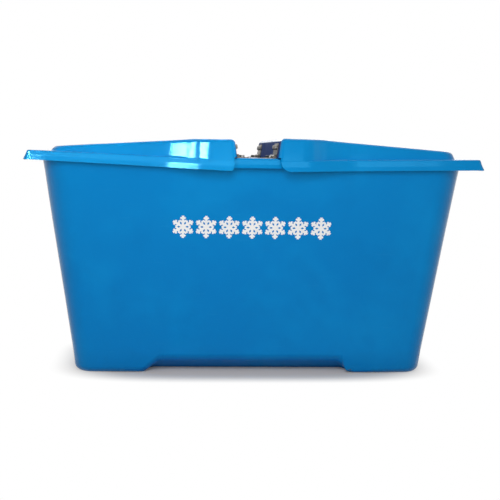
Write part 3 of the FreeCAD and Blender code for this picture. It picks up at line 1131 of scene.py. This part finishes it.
def softenCrease(lid, side):
    # where the crown rises from the flange
    def onCrease(co):
        level = abs(co.z - lidShape["flangeTop"][side]) < slack["crease"]
        return level and inCrownFoot(side, co) and co.x > crownShape["creaseFrom"]

    pickEdges(lid, lambda a, b: onCrease(a) and onCrease(b))
    roundEdges(crownShape["foot"], crownShape["footSteps"])


def openLid(lid):
    # the end wall stops above the hinge, and the skirt is open towards the bridge
    start = lidShape["skirtStart"]
    footZ = crownShape["endWallFoot"][1]
    cutAcross(lid, alongX, (start,))
    pickFaces(lid, lambda centre, normal: centre.x < start + slack["end"])
    cutAlong((0.0, 0.0, footZ), alongZ)
    dropFaces(lid, lambda centre, normal: centre.z < footZ and centre.x < start + slack["edge"])
    dropFaces(lid, lambda centre, normal: normal.z < -flat)


def flareSkirt(lid, side):
    # the skirt's lip turns out in an even curve over its lowest part
    shape = lidShape
    start = shape["skirtStart"]
    foot = shape["flangeTop"][side] - shape["skirtInner"]
    run = shape["outerEnd"][side] - start
    taper = (shape["skirtInner"] - shape["skirtOuter"][side]) / run
    share = shape["flare"] / len(shape["flareHeights"])
    for height in shape["flareHeights"]:
        cutThrough(lid, (start, 0.0, foot + height), (-taper, 0.0, 1.0))
    for height in shape["flareHeights"]:
        pickPoints(lid, lambda co: co.z < foot + height - slack["band"] + (co.x - start) * taper)
        widen(share, run, shape["blockHalfY"], (start, 0.0, 0.0))
        leaveEdit()


def placeOnSide(piece, side):
    # raised about the hinge pin to the rim's tilt, and mirrored on the left
    pinX, pinZ = lidShape["pin"]
    pin = Matrix.Translation((pinX, 0.0, pinZ))
    lift = Matrix.Rotation(-math.radians(lidShape["tilt"][side]), 4, "Y")
    flip = Matrix.Scale(-1.0, 4, alongX) if side == "left" else Matrix.Identity(4)
    piece.matrix_world = flip @ pin @ lift @ pin.inverted()
    applyPlace(piece)


def paintEndWallShade(lid, outwards):
    # the flat face towards the other lid, above the hinge, gets the painted shade
    shape = crownShape
    lid.data.materials.append(paintedShadeGelCoat)
    for face in lid.data.polygons:
        centre = face.center
        inner = -outwards * face.normal.x > shape["endWallTurn"] and abs(centre.x) < shape["endWallWithin"]
        if inner and face.material_index == 0 and centre.z > shape["endWallFoot"][1]:
            face.material_index = 2


def splitInside(lid, side):
    # the laminate is a piece of its own, because only the gel coat mirrors the window
    clearSelection(lid, "FACE")
    for face in lid.data.polygons:
        face.select = face.material_index == 1
    enterEdit()
    bpy.ops.mesh.separate(type="SELECTED")
    leaveEdit()
    inside = next(piece for piece in bpy.context.selected_objects if piece != lid)
    inside.name = side + "LidLaminate"
    return inside


def makeLid(side):
    shape = lidShape
    top = shape["flangeTop"][side]
    lid = makeFlange(side)
    combine(lid, makeCrown(side), "UNION")
    softenCrease(lid, side)
    openLid(lid)
    # the lower corner beside the bridge
    for y in (-1, 1):
        halfY = shape["blockHalfY"] - shape["flare"]
        corner = Vector((shape["skirtStart"], y * halfY, top - shape["skirtInner"]))
        pickPoints(lid, lambda co: (co - corner).length < slack["corner"])
        roundEdges(shape["lowerCorner"][side], shape["lowerSteps"], points=True)
    flareSkirt(lid, side)
    cutAcross(lid, alongX, shape["netCuts"])
    cutAcross(lid, alongY, [index * shape["netStep"] for index in shape["netAlong"]])
    waveWalls(lid, 1, shape["wander"], shape["wanderSize"],
              lambda co: co.z < top + shape["stillFoot"] or co.x < shape["stillEnd"])
    placeOnSide(lid, side)
    # the lid wears the lighter, painted-light copy of the coat
    finishMoulding(lid, shape["wall"], 1, paintedLightLidGelCoat)
    paintEndWallShade(lid, -1 if side == "left" else 1)
    for piece in (lid, splitInside(lid, side)):
        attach(piece, side + "_lid_assembly")
        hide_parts(side + "_lid")
    return lid


mirrorsWindow.objects.link(makeLid("left"))
makeLid("right")
print("lids made")


# Bridge across the mouth, which carries both lids

bridgeShape = {
    "halfX": 0.116,
    "halfY": 0.400,
    "foot": 0.7035,
    "top": 0.735,
    "corner": 0.014,
    "cornerSteps": 8,
    "lean": 0.0016,           # the lips lean in a little towards the top
    "band": 0.008,            # height of the lip's thicker lower band
    "bandFade": 0.004,        # and of the slope above it
    "bandStep": 0.0026,
    "edge": 0.006,
    "edgeSteps": 5,
    "wall": 0.008,
    "sideFrom": 0.10,
    "rimSlot": (0.351, 0.389),   # where the side lips straddle the tub's rim
}


def makeBridge():
    shape = bridgeShape
    foot = shape["foot"]
    band = shape["band"]
    low, high = shape["rimSlot"]
    bridge = emptyPiece("bridgeShell")
    for z, inset in ((foot, shape["bandStep"]), (shape["top"], shape["bandStep"] + shape["lean"])):
        corners = rectangle(shape["halfX"] - inset, shape["halfY"] - inset, shape["corner"])
        addOutline(bridge, corners, z, shape["cornerSteps"])
    joinOutlines(bridge)
    pickEdges(bridge, lambda a, b: min(a.z, b.z) > shape["top"] - slack["level"])
    roundEdges(shape["edge"], shape["edgeSteps"])
    dropFaces(bridge, lambda centre, normal: normal.z < -flat)
    # the lower band stands out from the lip with a small step
    cutAcross(bridge, alongZ, (foot + band, foot + band + shape["bandFade"]))
    pickPoints(bridge, lambda co: co.z < foot + band - slack["edge"])
    widen(shape["bandStep"], shape["halfX"], shape["halfY"])
    leaveEdit()
    # slots in the side lips, over the tub's rim
    cutAcross(bridge, alongY, (-low, low, -high, high))
    cutAcross(bridge, alongZ, (tubShape["rimTop"],))

    def inSlot(centre, normal):
        beside = abs(centre.x) > shape["sideFrom"] and low < abs(centre.y) < high
        return beside and centre.z < tubShape["rimTop"]

    dropFaces(bridge, inSlot)
    # the bridge wears the lids' lighter, painted-light copy of the coat
    finishMoulding(bridge, shape["wall"], 1, paintedLightLidGelCoat)
    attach(bridge, "base")
    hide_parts("centre_bridge")


makeBridge()
print("bridge made")


# Winter marking on the front: a row of six-armed snowflakes

flakeShape = {
    "count": 7,
    "firstX": -0.2365,
    "lastX": 0.2225,
    "middleZ": 0.505,
    "arms": 6,
    "radius": 0.0375,
    "armWidth": 0.0080,
    "twigAt": (0.40, 0.70),      # places of the twigs along an arm, as shares of it
    "twigLength": (0.36, 0.26),
    "twigWidth": 0.0062,
    "twigLean": math.pi / 3,
    "hub": 0.0085,
    "blankDepth": 0.004,
    "ahead": 0.001,              # the blank starts this far in front of the wall's plane
    "lift": 0.00005,
    "film": 0.0005,              # thickness of the white film
}


def addBar(flake, start, turn, length, width):
    # a bar that leaves start in the direction turn, added to the flake
    editAll(flake, "DESELECT")
    bpy.ops.mesh.primitive_cube_add(size=1.0, location=origin)
    stretch((length, width, flakeShape["blankDepth"]))
    shift((length / 2, 0.0, 0.0))
    bpy.ops.transform.rotate(value=-turn, orient_axis="Z", center_override=origin)
    shift((start[0], start[1], 0.0))
    leaveEdit()


def makeFlake():
    shape = flakeShape
    flake = emptyPiece("snowflake")
    reach = shape["radius"]
    for arm in range(shape["arms"]):
        turn = math.pi / 2 + arm * 2 * math.pi / shape["arms"]
        addBar(flake, origin, turn, reach, shape["armWidth"])
        for share, length in zip(shape["twigAt"], shape["twigLength"]):
            root = (share * reach * math.cos(turn), share * reach * math.sin(turn))
            for lean in (-shape["twigLean"], shape["twigLean"]):
                addBar(flake, root, turn + lean, length * reach, shape["twigWidth"])
    deselectAll()
    bpy.ops.mesh.primitive_cylinder_add(vertices=shape["arms"], radius=shape["hub"],
                                        depth=shape["blankDepth"])
    hub = bpy.context.object
    applyModifier(flake, "BOOLEAN", object=hub, operation="UNION", solver="EXACT", use_self=True)
    bpy.data.objects.remove(hub, do_unlink=True)
    # only the front face is kept, and takes its thickness on the wall
    dropFaces(flake, lambda centre, normal: normal.z < flat)
    mergePoints(flake)
    return flake


def stickFlake(blank, index):
    shape = flakeShape
    flake = blank.copy()
    flake.data = blank.data.copy()
    flake.name = "snowflake_%d" % (index + 1)
    bpy.context.scene.collection.objects.link(flake)
    x = shape["firstX"] + index * (shape["lastX"] - shape["firstX"]) / (shape["count"] - 1)
    z = shape["middleZ"]
    wallY = -(tubShape["baseHalfY"] + tubShape["draft"] * z)
    lean = Matrix.Rotation(math.pi / 2 + math.atan(tubShape["draft"]), 4, "X")
    flake.matrix_world = Matrix.Translation((x, wallY - shape["ahead"], z)) @ lean
    applyPlace(flake)
    applyModifier(flake, "SHRINKWRAP", target=tubShell, wrap_method="NEAREST_SURFACEPOINT",
                  wrap_mode="ABOVE_SURFACE", offset=shape["lift"])
    editAll(flake)
    bpy.ops.mesh.normals_make_consistent(inside=False)
    leaveEdit()
    if flake.data.polygons[0].normal.y > 0.0:
        flipFaces(flake)
    applyModifier(flake, "SOLIDIFY", thickness=shape["film"], offset=1.0)
    flake.data.materials.append(whiteMarking)
    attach(flake, "base")


flakeBlank = makeFlake()
for flakeIndex in range(flakeShape["count"]):
    stickFlake(flakeBlank, flakeIndex)
bpy.data.objects.remove(flakeBlank, do_unlink=True)
print("snowflakes made")


bpy.context.scene.view_settings.view_transform = "Standard"
